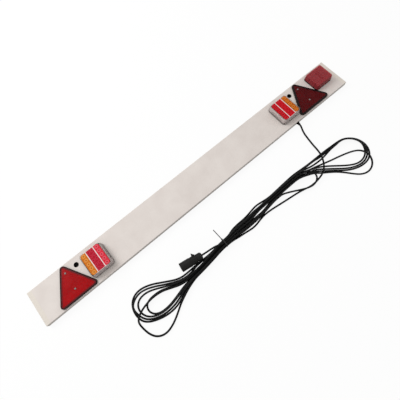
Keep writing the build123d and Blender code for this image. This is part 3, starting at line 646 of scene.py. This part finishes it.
# Cable: about twelve metres of 7 mm seven-core cable in a black PVC sheath, with a plug at its far end.
# It leaves the board's lower edge and is folded by hand into a long hank, which a tie holds at its waist.
# The sheath is nearly black with little shine, so strands part only where the floor shows between them.
cable_radius = 0.0035
floor_height = 3.6
lead = [
    (464.5, -83, 10), (463.5, -90.5, 10), (457.5, -103.5, 8.4), (451.5, -120.5, 5.4), (447.5, -141.5, 3.8),
    (443, -166, 3.8), (438, -190, 6), (433.5, -212, 9.8), (428, -231.5, 11.2), (419.5, -250, 11.2),
    (408, -267, 11.4), (392.5, -282, 12), (373, -293, 11.8), (350, -297.8, 11), (327, -300.5, 10.6),
    (303, -299.8, 10.4), (283, -294.5, 10), (262, -288.8, 7), (236, -284, 3.8), (198, -279), (160, -273.5),
    (128, -268.8), (98, -266.4),
]
# Places across the bundle, from right to left: x, then y of the lowest strand and of the next, the pitch of
# the strands above it, the strand that a gap follows and that gap, y of the highest strand, the height of the
# bottom layer and of a step between layers. The lowest strand joins at the seventh place, so its y is nought
# before that.
crossings = [
    (330, 0, -269.1, 4.7, 9, 0, -226.4, 3.6, 5.2),
    (290, 0, -250, 2.8, 9, 0, -222.4, 3.6, 6.4),
    (245, 0, -249.6, 2.7, 9, 0, -223.5, 3.6, 6.6),
    (195, 0, -250.6, 2.75, 9, 0, -226, 3.6, 6.6),
    (150, 0, -252, 2.67, 9, 0, -228.2, 3.6, 6.6),
    (96, 0, -260.2, 2.36, 4, 9.3, -219, 3.6, 6.6),
    (72, -268.8, -262, 3.2, 4, 5.5, -222, 3.6, 6.2),
    (34, -277, -264, 3.6, 9, 0, -228.3, 3.6, 6.2),
    (-8, -270.5, -263.3, 3.55, 9, 0, -228, 3.6, 6.3),
    (-38, -266.8, -259.8, 3, 9, 0, -230.5, 3.6, 6.5),
    (-62, -263, -259.7, 2.34, 9, 0, -238.6, 3.9, 6.5),
    (-91, -262, -259.7, 2.3, 9, 0, -239, 4.8, 6.5),
    (-120, -263, -260.8, 2.2, 9, 0, -240.8, 3.9, 6.5),
    (-150, -267.2, -265, 2.2, 9, 0, -244.8, 3.6, 6.6),
    (-185, -271.5, -269.3, 2.2, 8, 4.3, -244.7, 3.6, 6.6),
    (-222, -275.1, -272.9, 2.2, 8, 9.1, -242.4, 3.6, 6.6),
    (-255, -277.2, -274.8, 2.4, 8, 1.6, -244, 3.6, 6.4),
    (-300, -290, -285.5, 4.75, 5, -2.5, -242.2, 3.6, 5.2),
]
last_lane = 10
layers = 3
# To the right of this x the lowest strand lies on the floor.
flat_from_x = -50


def lane_point(lane, crossing):
    """Where one strand of the bundle lies at a crossing: lanes count from the lower edge, in three layers."""
    x, lowest, low, pitch, split, gap, highest, base, step = crossing
    layer = (last_lane - lane) % layers
    if lane == 0 and x > flat_from_x:
        layer = 0
    if lane == 0:
        y = lowest
    elif lane == last_lane:
        y = highest
    else:
        y = low + pitch * (lane - 1) + (gap if lane > split else 0)
    return (x, y, base + layer * step)


# The turns at the two ends, each from where the cable comes in to where it goes back. A place without a
# height is on the floor.
left_low_turn = [
    (-324, -300.5, 10.2), (-346, -310, 7), (-365, -321), (-390, -336), (-416, -347.5), (-440, -353),
    (-462, -349.5), (-480, -337.5), (-491.5, -318), (-497, -296), (-499.5, -277, 4.5), (-497.5, -264, 8.5),
    (-489, -254, 11.8), (-476, -246, 12.2), (-457, -238.5, 11.2), (-436, -233.5, 10.6), (-413, -231, 10.6),
    (-391, -232.5, 10.4), (-368, -236.5, 10.2), (-344, -246.5, 9.6),
]
left_outer_turn = [
    (-352, -306), (-378, -310), (-404, -309), (-430, -303.5), (-455, -294), (-473, -283.5), (-485.5, -270),
    (-491.5, -250), (-491.5, -229), (-485.5, -208.5), (-473, -192), (-455, -182), (-432, -179),
    (-406, -184.5), (-380, -195.8), (-352, -212.5),
]
left_second_turn = [
    (-352, -297.5), (-380, -301.5), (-408, -301.5), (-434, -295.5), (-456, -286), (-472, -273.3),
    (-481, -257.8), (-484.5, -243, 6), (-486.5, -228, 9.8), (-484, -213.3, 10), (-474.5, -201.8, 8),
    (-459, -191.8), (-436, -187.5), (-410, -193), (-384, -204.5), (-356, -220.5),
]
left_middle_turn = [
    (-350, -288, 9.8), (-378, -293, 9.8), (-404, -294, 9.4), (-430, -289, 7), (-452.5, -279, 4),
    (-467, -264), (-474, -245.5), (-472.5, -226.5), (-463, -211.5), (-445, -202.5), (-421, -202),
    (-395, -209.5), (-361, -226.5, 6),
]
left_inner_turn = [
    (-350, -284), (-380, -289.5), (-408, -290), (-429, -285), (-443, -274), (-449, -259), (-446.5, -244),
    (-437, -233), (-421, -227.8), (-398, -227.2), (-375, -230), (-351, -238.5),
]
right_odd_turn = [
    (352, -248.5), (380, -256), (408, -264.5), (440, -274.5), (474, -283), (506, -292.5), (532, -302.5, 5.5),
    (551.5, -316, 10.4), (563, -333, 11), (567, -352, 11.2), (563.5, -372, 7), (551.5, -389), (531, -399.5),
    (507, -400.5), (484, -390), (464.5, -370), (446, -347), (426, -325.5), (400, -305), (380, -291.8, 4.4),
    (363, -280, 8.6), (350, -271.5, 12.4), (333, -264, 15.4),
]
right_outer_turn = [
    (370, -229.5), (410, -230.5), (440, -231, 4.2), (466, -232.8, 7.2), (492, -235.5, 10.2),
    (518, -237.3, 10.6), (542, -242, 10.4), (563, -254, 9.9), (579, -272.5, 9.5), (588.5, -295, 9.3),
    (589, -314, 8.4), (582.5, -331.5, 5.5), (571.5, -346, 3.8), (556.5, -356), (537.5, -361.2),
    (515.5, -360.6), (493, -354), (472, -344), (449, -327.5), (421, -303.5), (396, -283.5), (376, -269.5, 7),
    (357, -260.5, 10.8), (338, -256, 8.2),
]
right_second_turn = [
    (370, -232.5, 9.6), (394, -234.2, 8.6), (414, -237.4, 4.6), (452, -238.2), (480, -237), (506, -236.3),
    (530, -238), (552, -245), (572, -257.5), (587, -276), (594.5, -297), (595, -317), (589, -336.5),
    (577.5, -352.5), (561, -364), (540, -369), (515, -368), (490, -361), (467, -350), (443, -333),
    (416, -309.5), (391, -290), (372, -276.5, 7), (356, -267.5, 10.8), (336, -261.5, 11.2),
]
right_inner_turn = [
    (368, -243.5), (395, -246.5), (424, -247.3, 4.2), (450, -244.5, 6.6), (474, -241.6, 9.8),
    (498, -242.4, 13), (522, -241.5, 16.6), (543, -246.3, 16.6), (561, -258.5, 15.8), (575, -275.5, 15),
    (582.5, -295, 14), (582, -312.5, 10.5), (576, -328, 6), (566, -340), (551, -349), (531.5, -353),
    (510, -350.8), (487, -340), (463, -323), (438, -302), (410, -279.5), (385, -264.5, 6),
    (357, -253, 11.4), (336, -248.5, 13.6),
]
right_short_turn = [
    (345, -251.5, 4.6), (353.5, -261.5), (356.5, -274.5), (352, -287.5), (340.5, -297.3), (324, -302),
    (306, -301), (286, -294), (262, -282), (238, -268.8), (214, -257),
]
# Each fold: the lane it comes in by, its left turn, the lane it goes back by, and its right turn.
folds = [
    (0, left_low_turn, 6, right_short_turn),
    (1, left_outer_turn, 10, right_outer_turn),
    (4, left_inner_turn, 7, right_odd_turn),
    (2, left_second_turn, 9, right_second_turn),
    (3, left_middle_turn, 8, right_inner_turn),
]
# The last stretch leaves the top of the bundle beyond the tie and comes down to the plug, along its axis.
end_lane = 5
end_lane_x = -106
plug_lead = [(-109, -246, 24), (-127, -239.5, 24.6), (-147, -235.8, 19.6)]
plug_face = (-271, -217, 17)
plug_yaw = math.radians(-9)
plug_length = 88
plug_straight = 12
plug_seat = 8


def on_plug(along):
    """A place on the plug's axis, counted from its face."""
    x, y, z = plug_face
    return (x + along * math.cos(plug_yaw), y + along * math.sin(plug_yaw), z)


def run(lane, from_x, to_x):
    """One strand's places across the bundle, between where one turn ends and the next begins."""
    margin = 14
    inner = [c for c in crossings if min(from_x, to_x) + margin < c[0] < max(from_x, to_x) - margin]
    if to_x > from_x:
        inner.reverse()
    return [lane_point(lane, c) for c in inner]


route = list(lead)
for leftward, left_turn, rightward, right_turn in folds:
    route += run(leftward, route[-1][0], left_turn[0][0]) + left_turn
    route += run(rightward, left_turn[-1][0], right_turn[0][0]) + right_turn
route += run(end_lane, route[-1][0], end_lane_x) + plug_lead
route += [on_plug(plug_length + along) for along in (plug_straight, 0, -plug_seat)]

# The route is in millimetres. Each point carries the cable's radius, in metres, and the bevel is one, so that
# Blender's box for the curve is the cable's own.
cable_curve = bpy.data.curves.new("cable", "CURVE")
cable_curve.dimensions = "3D"
cable_curve.bevel_depth = 1.0
cable_curve.bevel_resolution = 3
cable_curve.resolution_u = 5
cable_curve.use_fill_caps = True
strand = cable_curve.splines.new("NURBS")
strand.points.add(len(route) - 1)
for spot, place in zip(strand.points, route):
    x, y, z = place if len(place) == 3 else (*place, floor_height)
    spot.co = (x / 1000, y / 1000, z / 1000, 1.0)
    spot.radius = cable_radius
strand.order_u = 3
strand.use_endpoint_u = True
cable = bpy.data.objects.new("cable", cable_curve)
bpy.context.scene.collection.objects.link(cable)
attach(cable, "root")
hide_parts("cable_lead", "cable_hank", "plug_cable")
sheath = moulded(
    "black_pvc_sheath", "050505", "0B0B0B", grain_mm=5.0, relief_mm=0.04, roughness=0.5, gloss=0.12
)
cable_curve.materials.append(sheath)


# Cable tie: a black nylon strap drawn tight round the waist of the hank, with its head and a loose tail.
# Nylon has a soft sheen; the strap's colour is also painted a shade paler than the cable, a painted sheen.
black_nylon = moulded(
    "black_nylon_moulded", "191919", "232322", grain_mm=2.0, relief_mm=0.02, roughness=0.45, gloss=0.3
)
clad(black_nylon, "cable_tie")


# Plug: a seven-pin trailer plug, a black glass-filled nylon shell with a ribbed grip and a screwed rear cap.
# The glass filling takes most of the shine off the nylon, and the insert is of the same.
plug_nylon = moulded(
    "plug_nylon_moulded", "141312", "1D1C1B", grain_mm=2.0, relief_mm=0.05, roughness=0.5, gloss=0.14
)
clad(plug_nylon, "plug_shell", "plug_insert", "plug_cap")
# The pins are turned brass, a bright yellow metal with fine marks of the tool.
turned_brass = moulded(
    "turned_brass", "A8873E", "BF9D50", grain_mm=0.8, relief_mm=0.02, roughness=0.3, metal=1.0
)
clad(turned_brass, "plug_pins")
